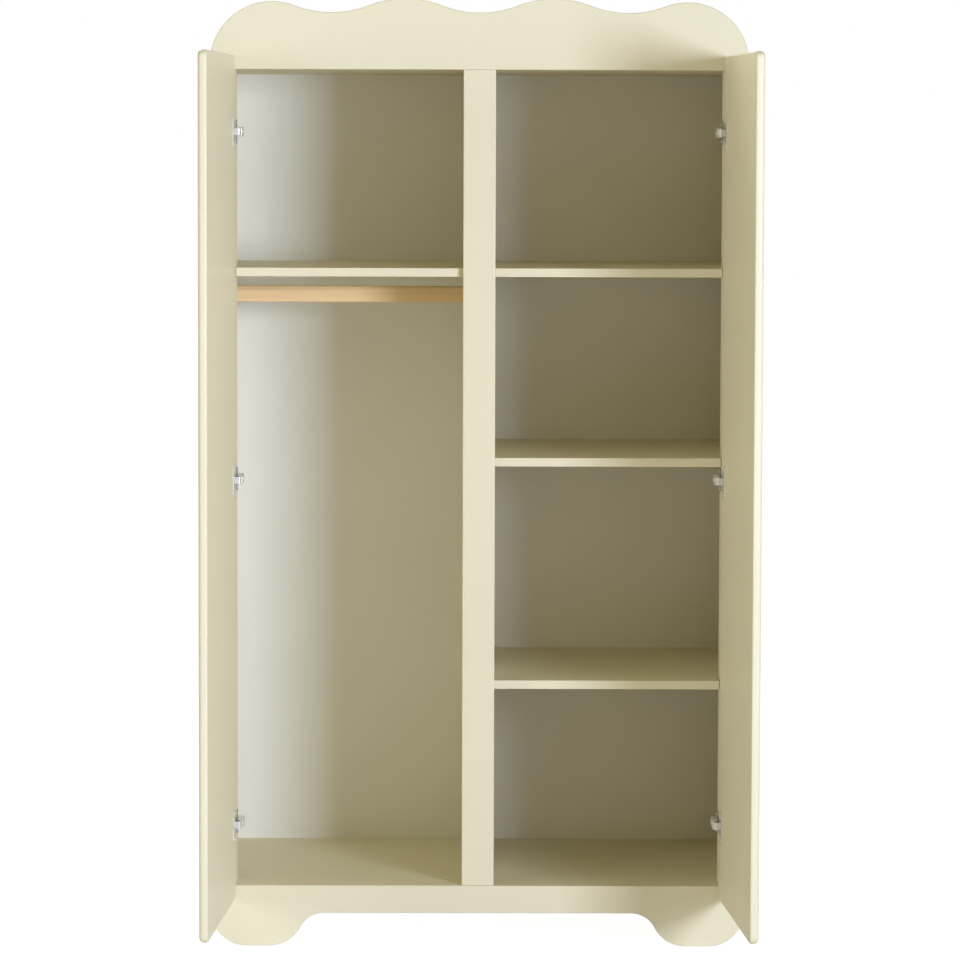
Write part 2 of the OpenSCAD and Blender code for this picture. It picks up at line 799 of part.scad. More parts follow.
crown_board();
apron_board();
stile(-centre_stile_w / 2, centre_stile_w);  // centre_stile
stile(-outer_x, side_stile_w);  // left_stile
stile(opening_x, side_stile_w);  // right_stile
side_panel(left);  // left_side
side_panel(right);  // right_side
cross_panel(top_z);  // top_panel
cross_panel(bottom_z);  // bottom_panel
divider_panel();
back_panel(left);  // left_back_panel
back_panel(right);  // right_back_panel
rear_rail();
corner_blocks();
hinge_batten(left);  // left_hinge_batten
hinge_batten(right);  // right_hinge_batten
shelf(left, upper_shelf_z);  // left_shelf
shelf(right, upper_shelf_z);  // right_upper_shelf
shelf(right, middle_shelf_z);  // right_middle_shelf
shelf(right, lower_shelf_z);  // right_lower_shelf
hanging_rail();
rail_socket(left);  // left_rail_socket
rail_socket(right);  // right_rail_socket
door(left);  // left_door
door(right);  // right_door
hinge_cup(left, lower);  // left_lower_hinge_cup
hinge_cup(left, middle);  // left_middle_hinge_cup
hinge_cup(left, upper);  // left_upper_hinge_cup
hinge_cup(right, lower);  // right_lower_hinge_cup
hinge_cup(right, middle);  // right_middle_hinge_cup
hinge_cup(right, upper);  // right_upper_hinge_cup
hinge_arm(left, lower);  // left_lower_hinge_arm
hinge_arm(left, middle);  // left_middle_hinge_arm
hinge_arm(left, upper);  // left_upper_hinge_arm
hinge_arm(right, lower);  // right_lower_hinge_arm
hinge_arm(right, middle);  // right_middle_hinge_arm
hinge_arm(right, upper);  // right_upper_hinge_arm
hinge_plate(left, lower);  // left_lower_hinge_plate
hinge_plate(left, middle);  // left_middle_hinge_plate
hinge_plate(left, upper);  // left_upper_hinge_plate
hinge_plate(right, lower);  // right_lower_hinge_plate
hinge_plate(right, middle);  // right_middle_hinge_plate
hinge_plate(right, upper);  // right_upper_hinge_plate
hinge_pins(left);  // left_hinge_pins
hinge_pins(right);  // right_hinge_pins
cup_screws(left);  // left_cup_screws
cup_screws(right);  // right_cup_screws
plate_screws();
arm_screws();
rail_screws();
shelf_pins();
frame_dowels();
case_dowels();
cam_locks();
cam_bolts();
panel_screws();
back_screws();
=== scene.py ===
"""Dresses a two-door children's wardrobe: lacquered boards, wooden rail, hinges and fasteners."""

import json
import math

import bmesh
import bpy
from bpy.props import FloatProperty, FloatVectorProperty, PointerProperty
from bpy.types import Operator, Panel, PropertyGroup
from mathutils import Matrix, Vector


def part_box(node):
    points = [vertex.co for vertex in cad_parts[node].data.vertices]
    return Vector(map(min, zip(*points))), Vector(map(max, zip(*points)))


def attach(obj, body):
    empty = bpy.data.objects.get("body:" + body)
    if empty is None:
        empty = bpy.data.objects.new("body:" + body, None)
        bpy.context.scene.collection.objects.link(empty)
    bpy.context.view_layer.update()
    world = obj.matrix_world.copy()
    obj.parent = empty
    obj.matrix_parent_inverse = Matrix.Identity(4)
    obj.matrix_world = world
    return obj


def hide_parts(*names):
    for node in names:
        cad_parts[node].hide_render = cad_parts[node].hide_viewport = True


bl_info = {
    "name": "Two-door children's wardrobe",
    "version": (1, 0, 0),
    "blender": (4, 5, 0),
    "location": "3D View > Sidebar > Wardrobe",
    "description": "Boards, doors, hinges, fasteners and studio of a small cream wardrobe",
    "category": "Object",
}

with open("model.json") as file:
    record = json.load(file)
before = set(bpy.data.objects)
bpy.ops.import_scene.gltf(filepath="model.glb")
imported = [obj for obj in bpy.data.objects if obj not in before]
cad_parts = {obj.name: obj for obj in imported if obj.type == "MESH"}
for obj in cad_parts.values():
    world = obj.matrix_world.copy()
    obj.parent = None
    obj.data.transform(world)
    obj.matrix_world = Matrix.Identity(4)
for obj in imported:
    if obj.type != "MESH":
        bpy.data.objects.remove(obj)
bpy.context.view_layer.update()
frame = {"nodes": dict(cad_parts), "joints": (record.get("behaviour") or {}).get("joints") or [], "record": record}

SIDES = {"left": -1, "right": 1}
LEVELS = ("lower", "middle", "upper")
SLOTS = {part["node"]: part["material_slot"] for part in frame["record"]["subparts"]}
FINISHED = {}

MERGE = 1e-6
SAME_PLACE = 1e-5
ARC_STEP = 0.003
SHARP = math.radians(35)
FLAT = math.radians(0.5)
BORE_CORNERS = 64
DISC_CORNERS = 12
DISC_ERROR = 2e-5
WHITE = (1.0, 1.0, 1.0)
MIDDLE = (0.0, 0.0, 0.9)


class WardrobeShapes(PropertyGroup):
    """Sizes of the shaped boards that the boxes of the CAD nodes don't give."""

    shoulder_radius: FloatProperty(
        name="Shoulder radius", description="Radius of the round shoulders of the crown",
        default=0.115, unit="LENGTH",
    )
    shoulder_height: FloatProperty(
        name="Shoulder height",
        description="Height of the shoulders above the lower edge of the crown",
        default=0.1245, unit="LENGTH",
    )
    dip_radius: FloatProperty(
        name="Dip radius", description="Radius of the dips of the crown", default=0.190,
        unit="LENGTH",
    )
    dip_height: FloatProperty(
        name="Dip height", description="Height of the dips above the lower edge of the crown",
        default=0.1045, unit="LENGTH",
    )
    foot_radius: FloatProperty(
        name="Foot radius", description="Radius of the bulb of a foot", default=0.066,
        unit="LENGTH",
    )
    foot_flat: FloatProperty(
        name="Foot flat", description="Flat length on which a foot stands", default=0.042,
        unit="LENGTH",
    )
    sweep_radius: FloatProperty(
        name="Sweep radius", description="Radius where a foot sweeps into the apron",
        default=0.050, unit="LENGTH",
    )
    under_height: FloatProperty(
        name="Clear height", description="Height under the apron and the side panels",
        default=0.062, unit="LENGTH",
    )
    frame_arris: FloatProperty(
        name="Frame arris", description="Rounding along the front edges of the face frame",
        default=0.002, unit="LENGTH",
    )
    board_arris: FloatProperty(
        name="Board arris", description="Rounding along the edges of shelves and panels",
        default=0.0008, unit="LENGTH",
    )
    door_corner: FloatProperty(
        name="Door corner", description="Radius of the corners of a door", default=0.012,
        unit="LENGTH",
    )
    door_edge: FloatProperty(
        name="Door edge", description="Rounding along the outer edges of a door",
        default=0.008, unit="LENGTH",
    )
    door_inner_edge: FloatProperty(
        name="Door inner edge", description="Rounding along the inner edges of a door",
        default=0.003, unit="LENGTH",
    )
    rail_edge: FloatProperty(
        name="Rail edge", description="Rounding along the edges of the hanging rail",
        default=0.003, unit="LENGTH",
    )
    head_rounding: FloatProperty(
        name="Head rounding", description="Rounding of a screw head as a share of its radius",
        default=0.22, min=0.0, max=0.4,
    )
    cross_reach: FloatProperty(
        name="Cross reach", description="Length of an arm of the cross as a share of the radius",
        default=0.55, min=0.2, max=0.9,
    )
    cross_width: FloatProperty(
        name="Cross width", description="Half the width of that arm as a share of the radius",
        default=0.13, min=0.05, max=0.3,
    )
    cross_depth: FloatProperty(
        name="Cross depth", description="Depth of a cross recess as a share of the radius",
        default=0.22, min=0.0, max=0.5,
    )
    cross_turn: FloatProperty(
        name="Cross turn", description="Turn from the cross of one screw to that of the next",
        default=math.radians(37), unit="ROTATION",
    )
    fitting_arris: FloatProperty(
        name="Fitting arris", description="Rounding along the edges of hinges and sockets",
        default=0.0003, unit="LENGTH",
    )
    cup_inset: FloatProperty(
        name="Cup inset", description="From the edge of a door to the middle of its hinge cups",
        default=0.0205, unit="LENGTH",
    )
    cup_bore: FloatProperty(
        name="Cup bore", description="Diameter of the bore for a hinge cup", default=0.0352,
        unit="LENGTH",
    )
    cup_clearance: FloatProperty(
        name="Cup clearance", description="Free depth under a hinge cup", default=0.0005,
        unit="LENGTH",
    )


class WardrobeFinishes(PropertyGroup):
    """Colours of the finishes."""

    lacquer: FloatVectorProperty(
        name="Lacquer", description="Cream lacquer of frame, case and doors", subtype="COLOR",
        default=(0.83, 0.765, 0.54), min=0.0, max=1.0,
    )
    back: FloatVectorProperty(
        name="Back panels", description="Painted hardboard of the back panels", subtype="COLOR",
        default=(0.93, 0.91, 0.80), min=0.0, max=1.0,
    )
    rail: FloatVectorProperty(
        name="Rail", description="Pale wood of the hanging rail", subtype="COLOR",
        default=(0.86, 0.61, 0.32), min=0.0, max=1.0,
    )
    raw_wood: FloatVectorProperty(
        name="Raw wood", description="Unfinished wood of blocks and dowels", subtype="COLOR",
        default=(0.62, 0.44, 0.25), min=0.0, max=1.0,
    )
    plastic: FloatVectorProperty(
        name="Sockets", description="Moulded plastic of the rail sockets", subtype="COLOR",
        default=(0.70, 0.67, 0.55), min=0.0, max=1.0,
    )
    nickel: FloatVectorProperty(
        name="Nickel", description="Plating of hinges and screws", subtype="COLOR",
        default=(0.88, 0.865, 0.82), min=0.0, max=1.0,
    )
    # The plates that carry the hinges are coloured darker than the hinges, which draws a dark outline around each
    # hinge arm.
    mount: FloatVectorProperty(
        name="Mounting plates", description="Darker plating of the plates that carry the hinges",
        subtype="COLOR", default=(0.42, 0.41, 0.385), min=0.0, max=1.0,
    )
    zinc: FloatVectorProperty(
        name="Zinc", description="Die cast metal of the cam locks", subtype="COLOR",
        default=(0.50, 0.50, 0.49), min=0.0, max=1.0,
    )


class WardrobeStudio(PropertyGroup):
    """Camera and lights."""

    lens: FloatProperty(name="Lens", description="Focal length in millimetres", default=163.305)
    camera_place: FloatVectorProperty(
        name="Camera", description="Place of the camera", subtype="XYZ", unit="LENGTH",
        default=(-0.0274, -8.10525, 1.4796),
    )
    yaw: FloatProperty(
        name="Yaw", description="Turn of the camera to the right", unit="ROTATION",
        default=math.radians(0.212),
    )
    pitch: FloatProperty(
        name="Pitch", description="Tilt of the camera downwards", unit="ROTATION",
        default=math.radians(4.299),
    )
    roll: FloatProperty(
        name="Roll", description="Roll of the camera", unit="ROTATION", default=math.radians(0.173),
    )
    key_place: FloatVectorProperty(
        name="Key light", description="Place of the main softbox", subtype="XYZ", unit="LENGTH",
        default=(2.50, -4.5, 1.42),
    )
    key_aim: FloatVectorProperty(
        name="Key aim", description="Place at which the main softbox looks, past the left door",
        subtype="XYZ", unit="LENGTH", default=(-3.2, 0.0, 0.9),
    )
    key_spread: FloatProperty(
        name="Key spread", description="Angle over which the main softbox sends its light",
        unit="ROTATION", default=math.radians(115),
    )
    key_size: FloatProperty(
        name="Key size", description="Width of the main softbox", unit="LENGTH", default=1.25,
    )
    key_power: FloatProperty(
        name="Key power", description="Power of the main softbox in watts", default=99.0,
    )
    key_colour: FloatVectorProperty(
        name="Key colour", description="Cool daylight of the lights at the right",
        subtype="COLOR", default=(0.70, 0.77, 1.0), min=0.0, max=1.0,
    )
    side_place: FloatVectorProperty(
        name="Side lights",
        description="Place of the wide soft light at the right, which the one at the left mirrors",
        subtype="XYZ", unit="LENGTH", default=(5.2, -4.2, 1.5),
    )
    side_size: FloatProperty(
        name="Side size", description="Width of a side light", unit="LENGTH", default=2.6,
    )
    right_power: FloatProperty(
        name="Right power", description="Power of the soft light at the right in watts",
        default=66.0,
    )
    left_power: FloatProperty(
        name="Left power", description="Power of the soft light at the left in watts",
        default=106.0,
    )
    left_colour: FloatVectorProperty(
        name="Left colour", description="More neutral daylight of the light at the left",
        subtype="COLOR", default=(0.85, 0.87, 1.0), min=0.0, max=1.0,
    )
    back_place: FloatVectorProperty(
        name="Back light", description="Place of the soft light behind the wardrobe",
        subtype="XYZ", unit="LENGTH", default=(-1.8, 3.6, 4.0),
    )
    back_power: FloatProperty(
        name="Back power", description="Power of the light behind the wardrobe in watts",
        default=120.0,
    )
    room: FloatProperty(name="Room", description="Brightness of the room", default=0.30)
    room_colour: FloatVectorProperty(
        name="Room colour", description="Warm light that the room gives back", subtype="COLOR",
        default=(1.0, 0.90, 0.50), min=0.0, max=1.0,
    )
    floor_size: FloatProperty(
        name="Floor size", description="Half the width of the floor", default=40.0, unit="LENGTH",
    )
    floor_colour: FloatVectorProperty(
        name="Floor colour", description="Matt white of the floor", subtype="COLOR",
        default=(0.82, 0.82, 0.81), min=0.0, max=1.0,
    )
    floor_glow: FloatProperty(
        name="Floor glow", description="Share of the floor that looks lit from below", default=0.8,
    )
    floor_light: FloatProperty(
        name="Floor light", description="Brightness of that light", default=1.22,
    )


def shapes():
    """The sizes of the shaped boards."""
    return bpy.context.scene.wardrobe_shapes


def added(name, data, matrix=None):
    """Adds an object to the scene, at the origin if no matrix is given."""
    made = bpy.data.objects.new(name, data)
    if matrix is not None:
        made.matrix_world = matrix
    bpy.context.scene.collection.objects.link(made)
    return made


def bearing(start, end):
    """Direction from one point of a plane to another, in degrees."""
    return math.degrees(math.atan2(end[1] - start[1], end[0] - start[0]))


def turn_between(first, second):
    """The turn from one bearing to another, the short way."""
    return (second - first + 180.0) % 360.0 - 180.0


class Outline:
    """A closed outline, drawn in a plane from its first point with straight runs and arcs."""

    def __init__(self, start):
        self.bm = bmesh.new()
        self.first = self.bm.verts.new((*start, 0.0))
        self.last = self.first

    def line(self, to):
        """A straight run to a point."""
        grown = bmesh.ops.extrude_vert_indiv(self.bm, verts=[self.last])
        self.last = grown["verts"][0]
        self.last.co = (*to, 0.0)

    def arc(self, centre, degrees):
        """An arc around a centre, turning left if the degrees are positive."""
        radius = (self.last.co.xy - Vector(centre)).length
        turn = math.radians(degrees)
        grown = bmesh.ops.spin(
            self.bm, geom=[self.last], cent=(*centre, 0.0), axis=(0.0, 0.0, 1.0), angle=turn,
            steps=max(6, math.ceil(abs(turn) * radius / ARC_STEP)),
        )
        self.last = next(v for v in grown["geom_last"] if isinstance(v, bmesh.types.BMVert))

    def chain(self, centres, start, end):
        """Arcs that run into each other, given their centres and the first and last bearing."""
        for i, centre in enumerate(centres):
            begin = start if i == 0 else bearing(centre, centres[i - 1])
            finish = end if i == len(centres) - 1 else bearing(centre, centres[i + 1])
            self.arc(centre, turn_between(begin, finish))

    def close(self):
        """Joins the last point to the first."""
        self.bm.edges.new((self.last, self.first))
        return self.bm

    def face(self):
        """The outline as one flat face."""
        self.close()
        bmesh.ops.remove_doubles(self.bm, verts=self.bm.verts, dist=SAME_PLACE)
        made = bmesh.ops.contextual_create(self.bm, geom=self.bm.edges[:])
        return made["faces"][0]

    def slab(self, thickness):
        """The outline as a board that reaches from its plane upwards."""
        push(self.bm, [self.face()], (0.0, 0.0, thickness))
        return tidy(self.bm)


def push(bm, faces, by):
    """Extrudes faces and moves what is extruded. Returns the moved faces."""
    grown = bmesh.ops.extrude_face_region(bm, geom=faces, use_keep_orig=False)["geom"]
    bmesh.ops.translate(bm, verts=[g for g in grown if isinstance(g, bmesh.types.BMVert)], vec=by)
    return [g for g in grown if isinstance(g, bmesh.types.BMFace)]


def tidy(bm):
    """Merges what coincides and turns every face outwards."""
    bmesh.ops.remove_doubles(bm, verts=bm.verts, dist=MERGE)
    bmesh.ops.recalc_face_normals(bm, faces=bm.faces)
    return bm


def soften(bm, radius, edges=None, segments=4):
    """Rounds the sharp edges of a piece, or those given."""
    if edges is None:
        edges = [e for e in bm.edges if e.is_manifold and e.calc_face_angle() > SHARP]
    bmesh.ops.bevel(
        bm, geom=edges, offset=radius, offset_type="OFFSET", affect="EDGES", segments=segments,
        profile=0.5, material=-1, clamp_overlap=True,
    )
    return bm


def edges_at(bm, axis, place):
    """The sharp edges that lie in one plane square to an axis."""
    return [
        e for e in bm.edges
        if e.is_manifold and e.calc_face_angle() > SHARP
        and all(abs(v.co[axis] - place) < SAME_PLACE for v in e.verts)
    ]


def upright(bm, y):
    """Stands an outline drawn across and upwards, its thickness running back from y."""
    bm.transform(Matrix(((1, 0, 0, 0), (0, 0, 1, y), (0, 1, 0, 0), (0, 0, 0, 1))))
    return tidy(bm)


def sidelong(bm, x):
    """Stands an outline drawn backwards and upwards, its thickness running right from x."""
    bm.transform(Matrix(((0, 0, 1, x), (1, 0, 0, 0), (0, 1, 0, 0), (0, 0, 0, 1))))
    return tidy(bm)


def cuboid(low, high):
    """A box between two corners."""
    bm = bmesh.new()
    size = high - low
    bmesh.ops.create_cube(
        bm, size=1.0, matrix=Matrix.Translation((low + high) / 2) @ Matrix.Diagonal((*size, 1.0)),
    )
    return bm


def sink(bm, face, rings, by):
    """Opens a pocket in a flat face for each closed ring of edges that lies on it."""
    rim = list(face.edges)
    bmesh.ops.delete(bm, geom=[face], context="FACES_ONLY")
    edges = rim + [edge for ring in rings for edge in ring]
    bmesh.ops.triangle_fill(bm, use_beauty=True, edges=edges)
    for ring in rings:
        grown = bmesh.ops.extrude_edge_only(bm, edges=ring)["geom"]
        moved = [g for g in grown if isinstance(g, bmesh.types.BMVert)]
        bmesh.ops.translate(bm, verts=moved, vec=by)
        floor = [
            g for g in grown
            if isinstance(g, bmesh.types.BMEdge) and all(v in moved for v in g.verts)
        ]
        bmesh.ops.contextual_create(bm, geom=floor)


def join(bm, other):
    """Adds a copy of another mesh, and frees it."""
    mesh = bpy.data.meshes.new("part")
    other.to_mesh(mesh)
    other.free()
    bm.from_mesh(mesh)
    bpy.data.meshes.remove(mesh)


def body_of(node):
    """The body that a CAD node rides on."""
    bodies = frame["record"]["behaviour"]["bodies"]
    return next(body for body, nodes in bodies.items() if node in nodes)


def piece(bm, node):
    """Makes the object that stands for a CAD node, with its finish."""
    name = "finished_" + node
    mesh = bpy.data.meshes.new(name)
    tidy(bm)
    for face in bm.faces:
        face.smooth = True
    for edge in bm.edges:
        edge.smooth = edge.is_manifold and edge.calc_face_angle() < SHARP
    bm.to_mesh(mesh)
    bm.free()
    made = added(name, mesh)
    weighted = made.modifiers.new("Even shading", "WEIGHTED_NORMAL")
    weighted.weight = 100
    weighted.keep_sharp = True
    mesh.materials.append(finish_for(node))
    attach(made, body_of(node))
    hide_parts(node)


def merged(node):
    """A copy of a CAD node's own shape with its triangles joined into flat faces."""
    bm = bmesh.new()
    bm.from_mesh(frame["nodes"][node].data)
    bmesh.ops.remove_doubles(bm, verts=bm.verts, dist=MERGE)
    bmesh.ops.dissolve_limit(bm, angle_limit=FLAT, verts=bm.verts[:], edges=bm.edges[:])
    return bm


def refined(node, radius=0.0):
    """Makes a piece from a CAD node's own shape, with soft arrises if a radius is given."""
    bm = merged(node)
    if radius:
        soften(bm, radius, segments=2)
    piece(bm, node)


def discs(bm):
    """The widest round flat faces of a mesh, such as the tops of its screw heads."""
    found = []
    for face in bm.faces:
        centre = face.calc_center_median()
        reach = [(v.co - centre).length for v in face.verts]
        if len(reach) >= DISC_CORNERS and max(reach) - min(reach) < DISC_ERROR:
            found.append((max(reach), face))
    widest = max(radius for radius, face in found)
    return widest, [face for radius, face in found if radius > widest * 0.99]


def crossed(node):
    """Makes a piece from the screws of a CAD node, with round heads and cross recesses."""
    size = shapes()
    bm = merged(node)
    radius, heads = discs(bm)
    rims = list({e for f in heads for e in f.edges})
    soften(bm, radius * size.head_rounding, rims, segments=3)
    radius, heads = discs(bm)
    for i, head in enumerate(heads):
        normal = head.normal.copy()
        turn = normal.to_track_quat("Z", "Y").to_matrix().to_4x4()
        place = Matrix.Translation(head.calc_center_median()) @ turn
        cross = recess(radius)
        cross.transform(place @ Matrix.Rotation(size.cross_turn * i, 4, "Z"))
        before = set(bm.edges)
        join(bm, cross)
        ring = [e for e in bm.edges if e not in before]
        sink(bm, head, [ring], normal * radius * -size.cross_depth)
    piece(bm, node)


def recess(radius):
    """The outline of the cross recess in a head of that radius."""
    arm, half = shapes().cross_reach * radius, shapes().cross_width * radius
    quarter = [Vector((half, arm)), Vector((-half, arm)), Vector((-half, half))]
    corners = [Matrix.Rotation(math.radians(90 * i), 2) @ v for i in range(4) for v in quarter]
    outline = Outline(corners[0])
    for corner in corners[1:]:
        outline.line(corner)
    return outline.close()


def closing(body):
    """The turn that closes a door from where it rests, or no turn for the cabinet."""
    for joint in frame["joints"]:
        if joint["child"] == body:
            pivot = Vector(joint["pos_m"])
            turn = Matrix.Rotation(math.radians(joint["range_deg"][0]), 4, Vector(joint["axis"]))
            return Matrix.Translation(pivot) @ turn @ Matrix.Translation(-pivot)
    return Matrix.Identity(4)


def solids(node):
    """Lowest and highest corner of each solid of a CAD node, with its door closed."""
    bm = bmesh.new()
    bm.from_mesh(frame["nodes"][node].data)
    bmesh.ops.remove_doubles(bm, verts=bm.verts, dist=MERGE)
    bm.transform(closing(body_of(node)))
    left_over = set(bm.verts)
    found = []
    while left_over:
        reach = [left_over.pop()]
        places = []
        while reach:
            vert = reach.pop()
            places.append(vert.co.copy())
            for edge in vert.link_edges:
                other = edge.other_vert(vert)
                if other in left_over:
                    left_over.remove(other)
                    reach.append(other)
        low = Vector(min(p[i] for p in places) for i in range(3))
        high = Vector(max(p[i] for p in places) for i in range(3))
        found.append((low, high))
    bm.free()
    return sorted(found, key=lambda corners: tuple(round(c, 4) for c in corners[0]))


class Field:
    """A value that changes over a surface. Python's operators on it add Math nodes."""

    def __init__(self, nodes, socket):
        self.nodes = nodes
        self.socket = socket

    def combined(self, operation, first, second):
        """A Math node on two values."""
        return self.nodes.node("ShaderNodeMath", {"operation": operation}, {0: first, 1: second})

    def __add__(self, other):
        return self.combined("ADD", self, other)

    def __radd__(self, other):
        return self.combined("ADD", other, self)

    def __mul__(self, other):
        return self.combined("MULTIPLY", self, other)

    def __rmul__(self, other):
        return self.combined("MULTIPLY", other, self)


class Nodes:
    """A node tree that was made with its usual first nodes."""

    def __init__(self, tree):
        self.tree = tree

    def first(self, name):
        """One of the nodes that the tree was made with."""
        return self.tree.nodes[name]

    def node(self, kind, settings, inputs, output=0):
        """Adds a node, its settings first, and returns one of its outputs."""
        made = self.tree.nodes.new(kind)
        for key, value in settings.items():
            setattr(made, key, value)
        for key, value in inputs.items():
            self.feed(made.inputs[key], value)
        return Field(self, made.outputs[output])

    def feed(self, socket, value):
        """Gives a socket a link or a constant."""
        if isinstance(value, Field):
            self.tree.links.new(value.socket, socket)
        else:
            socket.default_value = value


class Recipe(Nodes):
    """The node tree of one finish, with its shader and its place on the object."""

    def __init__(self, name):
        self.material = bpy.data.materials.new(name)
        self.material.use_nodes = True
        super().__init__(self.material.node_tree)
        self.shader = self.first("Principled BSDF")
        self.place = self.node("ShaderNodeTexCoord", {}, {}, "Object")

    def stretched(self, scale):
        """The place on the object, scaled along each axis."""
        by = {0: self.place, 1: scale}
        return self.node("ShaderNodeVectorMath", {"operation": "MULTIPLY"}, by)

    def noise(self, place, scale, detail=2.0, roughness=0.5):
        """A noise around one half."""
        return self.node(
            "ShaderNodeTexNoise", {},
            {"Vector": place, "Scale": scale, "Detail": detail, "Roughness": roughness},
        )

    def mixed(self, factor, first, second):
        """A colour between two, by a factor."""
        return self.node(
            "ShaderNodeMix", {"data_type": "RGBA"},
            {0: factor, 6: (*first, 1.0), 7: (*second, 1.0)}, 2,
        )

    def ease(self, value, low, high):
        """A value stretched from its own range to 0..1, with soft ends."""
        return self.node(
            "ShaderNodeMapRange", {"interpolation_type": "SMOOTHSTEP"},
            {"Value": value, "From Min": low, "From Max": high},
        )

    def drifting(self, colour, by, noise):
        """A colour that a noise makes lighter and darker by a share."""
        factor = self.ease(noise, low=0.3, high=0.7)
        return self.mixed(factor, tinted(colour, -by), tinted(colour, by))

    def finish(self, colour, roughness, height=None, depth=0.0, **constants):
        """Feeds the shader. The constants go on its own sockets."""
        self.feed(self.shader.inputs["Base Color"], colour)
        self.feed(self.shader.inputs["Roughness"], roughness)
        if height is not None:
            bump = self.node("ShaderNodeBump", {}, {"Height": height, "Distance": depth})
            self.feed(self.shader.inputs["Normal"], bump)
        for key, value in constants.items():
            self.shader.inputs[key.replace("_", " ").title()].default_value = value
        return self.material


def tinted(colour, by):
    """A colour made lighter or darker by a share."""
    return tuple(min(1.0, c * (1.0 + by)) for c in colour)


def sprayed(name, colour, roughness):
    """Sprayed lacquer: an even coat with the faintest orange peel and drift of tone."""
    recipe = Recipe(name)
    drift = recipe.noise(recipe.place, scale=2.3, detail=3.0)
    peel = recipe.noise(recipe.place, scale=620.0)
    wipe = recipe.noise(recipe.place, scale=21.0, detail=3.0)
    return recipe.finish(
        recipe.drifting(colour, 0.012, drift), roughness + 0.05 * wipe, peel, depth=0.00003,
        Coat_Weight=0.12, Coat_Roughness=0.16,
    )


def painted_board(name, colour):
    """Rolled paint on thin hardboard: flatter, with a fine tooth."""
    recipe = Recipe(name)
    drift = recipe.noise(recipe.place, scale=3.1, detail=4.0)
    tooth = recipe.noise(recipe.place, scale=900.0, detail=3.0)
    return recipe.finish(
        recipe.drifting(colour, 0.015, drift), 0.46 + 0.08 * tooth, tooth, depth=0.00006,
    )


def grained(name, colour, coat):
    """Straight grained pale wood whose grain runs across the wardrobe."""
    recipe = Recipe(name)
    fibres = recipe.noise(
        recipe.stretched((2.2, 210.0, 210.0)), scale=1.0, detail=5.0, roughness=0.62,
    )
    rings = recipe.noise(recipe.stretched((0.9, 38.0, 46.0)), scale=1.0)
    pores = recipe.noise(recipe.stretched((14.0, 900.0, 900.0)), scale=1.0)
    tone = recipe.ease(0.55 * rings + 0.45 * fibres, low=0.34, high=0.68)
    return recipe.finish(
        recipe.mixed(tone, tinted(colour, -0.22), tinted(colour, 0.10)), 0.34 + 0.16 * fibres,
        pores, depth=0.00005, Coat_Weight=coat, Coat_Roughness=0.2,
    )


def moulded(name, colour):
    """Moulded plastic with a fine spark eroded skin."""
    recipe = Recipe(name)
    skin = recipe.noise(recipe.place, scale=1400.0)
    return recipe.finish(
        recipe.mixed(skin, tinted(colour, -0.02), tinted(colour, 0.02)), 0.34 + 0.12 * skin,
        skin, depth=0.00002,
    )


def plated(name, colour, roughness):
    """Satin plate: faint clouds in its tone and its gloss, and the finest grain."""
    recipe = Recipe(name)
    grain = recipe.noise(recipe.place, scale=2600.0)
    cloud = recipe.noise(recipe.place, scale=130.0)
    return recipe.finish(
        recipe.drifting(colour, 0.03, cloud), roughness + 0.08 * cloud, grain, depth=0.000004,
        Metallic=0.72,
    )


def cast(name, colour):
    """Dull die cast metal with a grainy skin."""
    recipe = Recipe(name)
    grain = recipe.noise(recipe.place, scale=800.0, detail=4.0)
    return recipe.finish(
        recipe.mixed(grain, tinted(colour, -0.12), tinted(colour, 0.10)), 0.38 + 0.2 * grain,
        grain, depth=0.00004, Metallic=1.0,
    )


def finish_for(node):
    """The finish of a CAD node, built the first time it is asked for."""
    kind = "hinge_mount" if node.endswith("_hinge_plate") else SLOTS[node]
    if kind in FINISHED:
        return FINISHED[kind]
    colours = bpy.context.scene.wardrobe_finishes
    finishes = {
        "frame_lacquer": dict(make=sprayed, colour=colours.lacquer, roughness=0.58),
        "case_lacquer": dict(make=sprayed, colour=colours.lacquer, roughness=0.60),
        "door_lacquer": dict(make=sprayed, colour=colours.lacquer, roughness=0.56),
        "back_board": dict(make=painted_board, colour=colours.back),
        "rail_wood": dict(make=grained, colour=colours.rail, coat=0.35),
        "raw_wood": dict(make=grained, colour=colours.raw_wood, coat=0.0),
        "socket_plastic": dict(make=moulded, colour=colours.plastic),
        "hinge_steel": dict(make=plated, colour=colours.nickel, roughness=0.36),
        "hinge_mount": dict(make=plated, colour=colours.mount, roughness=0.36),
        "screw_steel": dict(make=plated, colour=colours.nickel, roughness=0.32),
        "cam_metal": dict(make=cast, colour=colours.zinc),
    }
    values = finishes[kind]
    FINISHED[kind] = values.pop("make")("finish_" + kind, **values)
    return FINISHED[kind]


def board(node, radius):
    """Makes a plain board in the place of a CAD node."""
    low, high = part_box(node)
    bm = soften(cuboid(low, high), radius, segments=3)
    piece(bm, node)


def foot_arcs(edge, side):
    """Centres of the heel, the toe and the sweep of a foot whose outer edge is given."""
    size = shapes()
    inwards = -side
    heel = (edge + inwards * size.foot_radius, size.foot_radius)
    toe = (heel[0] + inwards * size.foot_flat, size.foot_radius)
    drop = size.under_height - size.sweep_radius
    reach = math.sqrt((size.foot_radius + size.sweep_radius) ** 2 - (size.foot_radius - drop) ** 2)
    return heel, toe, (toe[0] + inwards * reach, drop)


def left_foot(outline, edge):
    """Draws a foot from its outer edge, at the left, to the clear height."""
    heel, toe, sweep = foot_arcs(edge, SIDES["left"])
    outline.line((edge, heel[1]))
    outline.arc(heel, 90.0)
    outline.line((toe[0], 0.0))
    outline.chain([toe, sweep], -90.0, 90.0)


